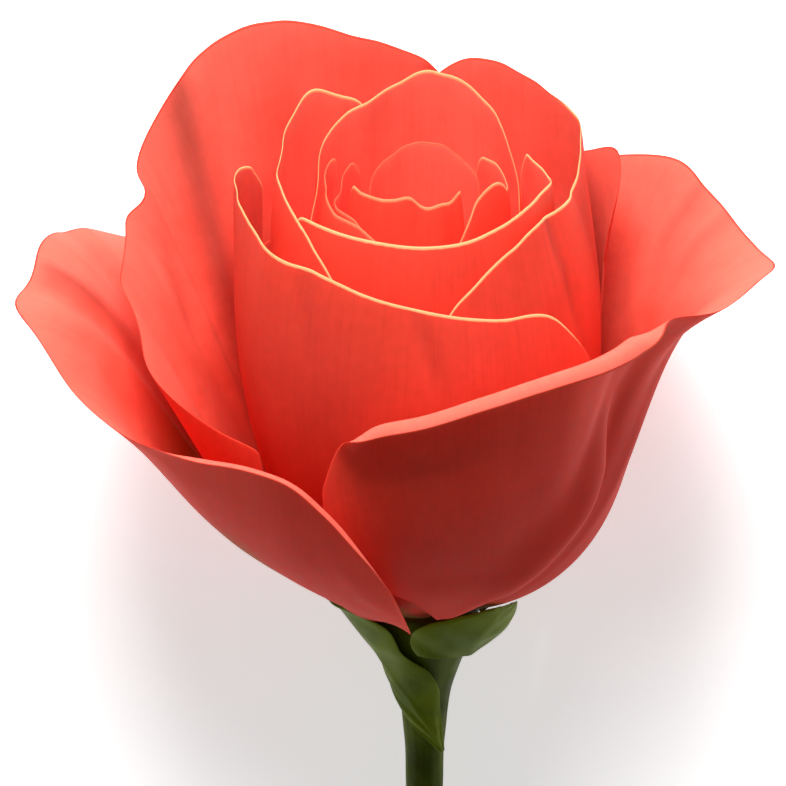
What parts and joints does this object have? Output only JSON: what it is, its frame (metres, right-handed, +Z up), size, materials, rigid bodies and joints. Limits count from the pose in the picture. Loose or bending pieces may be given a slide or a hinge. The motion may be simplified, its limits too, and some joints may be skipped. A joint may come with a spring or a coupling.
{
  "type": "rose flower",
  "caption": "Cut rose lying on its side: a half-open bloom of overlapping, flared petals over green sepals, on a short stem with a slanting cut.",
  "frame": {"origin": "centre of the lying flower's bounding box, at the level of the surface that it lies on", "axes": "+Z up from the surface, +Y from the bloom towards the cut end of the stem, +X towards the bloom's left side as seen from its front"},
  "size_m": [0.0855, 0.1165, 0.0599],
  "materials": {
    "petal": "velvety, matt",
    "sepal": "matt leaf",
    "stem": "smooth, satin",
    "pistil": "matt",
    "stamen": "matt"
  },
  "bodies": {
    "root": {"petal_rear_left_outer": "petal", "petal_rear_right_outer": "petal", "petal_left_outer": "petal", "petal_right_outer": "petal", "petal_rear_middle": "petal", "petal_left_back": "petal", "petal_right_rear": "petal", "petal_bud_front": "petal", "petal_bud_right": "petal", "petal_bud_rear": "petal", "petal_bud_left_hidden": "petal", "petal_bud_left": "petal", "petal_heart_right": "petal", "petal_heart_front": "petal", "petal_heart_back": "petal", "petal_coil_left_outer": "petal", "petal_coil_left_inner": "petal", "petal_coil_right": "petal", "petal_core_front": "petal", "petal_core_back": "petal", "petal_core_1": "petal", "petal_core_2": "petal", "petal_core_3": "petal", "petal_core_4": "petal", "sepal_right": "sepal", "sepal_left": "sepal", "sepal_rear": "sepal", "sepal_rear_right": "sepal", "sepal_rear_left": "sepal", "stem_with_hip": "stem", "pistils": "pistil", "stamens": "stamen"}
  },
  "joints": []
}
